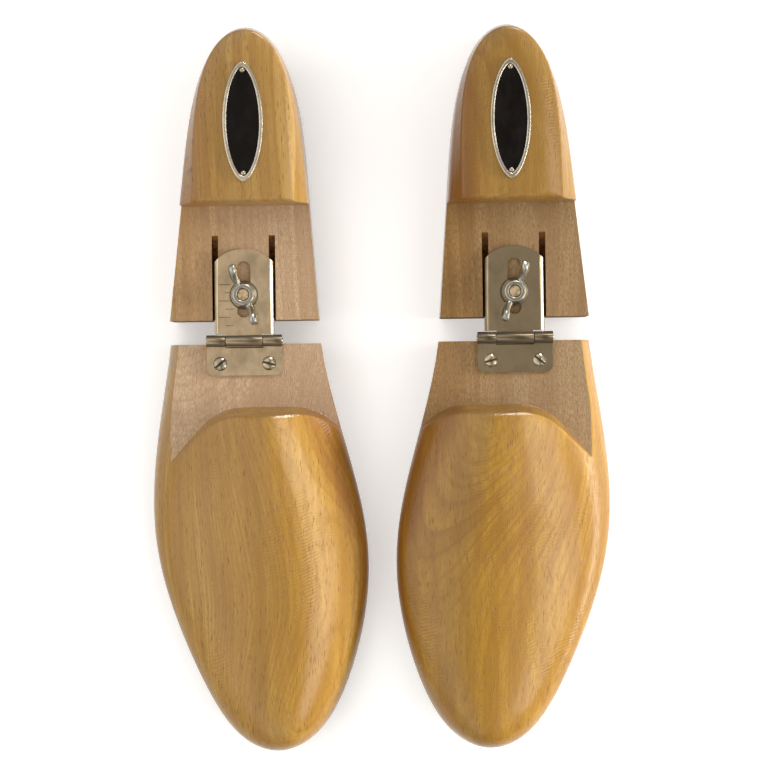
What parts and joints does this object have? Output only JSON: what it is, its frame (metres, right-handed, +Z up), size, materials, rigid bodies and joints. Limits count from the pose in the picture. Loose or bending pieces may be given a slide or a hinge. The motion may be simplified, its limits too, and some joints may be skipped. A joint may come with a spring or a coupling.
{
  "type": "pair of hinged shoe trees",
  "caption": "Pair of hinged beech shoe trees: last-shaped forepart and heel block, joined by a nickel hinge with a slotted leaf that a wing nut clamps to set the length.",
  "frame": {"origin": "on the floor under the middle of the pair's box", "axes": "+Z up, +Y towards the heels, -Y towards the toes, +X towards the left-foot tree"},
  "size_m": [0.188, 0.295, 0.0446],
  "materials": {
    "beech": "waxed, raw on the decks",
    "leaf": "satin nickel plate",
    "nickel": "bright nickel plate",
    "enamel": "gloss"
  },
  "bodies": {
    "foreparts": {"right_forepart_block": "beech", "right_fixed_leaf": "leaf", "right_inner_leaf_screw": "nickel", "right_outer_leaf_screw": "nickel", "right_hinge_pin": "nickel", "left_forepart_block": "beech", "left_fixed_leaf": "leaf", "left_inner_leaf_screw": "nickel", "left_outer_leaf_screw": "nickel", "left_hinge_pin": "nickel"},
    "right_leaf": {"right_sliding_leaf": "leaf"},
    "right_heel": {"right_heel_block": "beech", "right_clamp_bolt": "nickel", "right_name_plate": "nickel", "right_plate_enamel": "enamel", "right_front_plate_pin": "nickel", "right_back_plate_pin": "nickel"},
    "right_nut": {"right_wing_nut": "nickel"},
    "left_leaf": {"left_sliding_leaf": "leaf"},
    "left_heel": {"left_heel_block": "beech", "left_clamp_bolt": "nickel", "left_name_plate": "nickel", "left_plate_enamel": "enamel", "left_front_plate_pin": "nickel", "left_back_plate_pin": "nickel"},
    "left_nut": {"left_wing_nut": "nickel"}
  },
  "joints": [
    {"name": "right_fold", "type": "hinge", "parent": "foreparts", "child": "right_leaf", "pos_m": [-0.055, 0.0205, 0.0245], "axis": [1, 0, 0], "range_deg": [-5, 90]},
    {"name": "right_length", "type": "slide", "parent": "right_leaf", "child": "right_heel", "axis": [0, 1, 0], "range_m": [-0.006, 0.01]},
    {"name": "right_nut_turn", "type": "hinge", "parent": "right_heel", "child": "right_nut", "pos_m": [-0.055, 0.0392, 0.028], "axis": [0, 0, 1], "range_deg": [0, 360]},
    {"name": "left_fold", "type": "hinge", "parent": "foreparts", "child": "left_leaf", "pos_m": [0.055, 0.0205, 0.0245], "axis": [1, 0, 0], "range_deg": [-5, 90]},
    {"name": "left_length", "type": "slide", "parent": "left_leaf", "child": "left_heel", "axis": [0, 1, 0], "range_m": [-0.006, 0.01]},
    {"name": "left_nut_turn", "type": "hinge", "parent": "left_heel", "child": "left_nut", "pos_m": [0.055, 0.0392, 0.028], "axis": [0, 0, 1], "range_deg": [0, 360]}
  ]
}
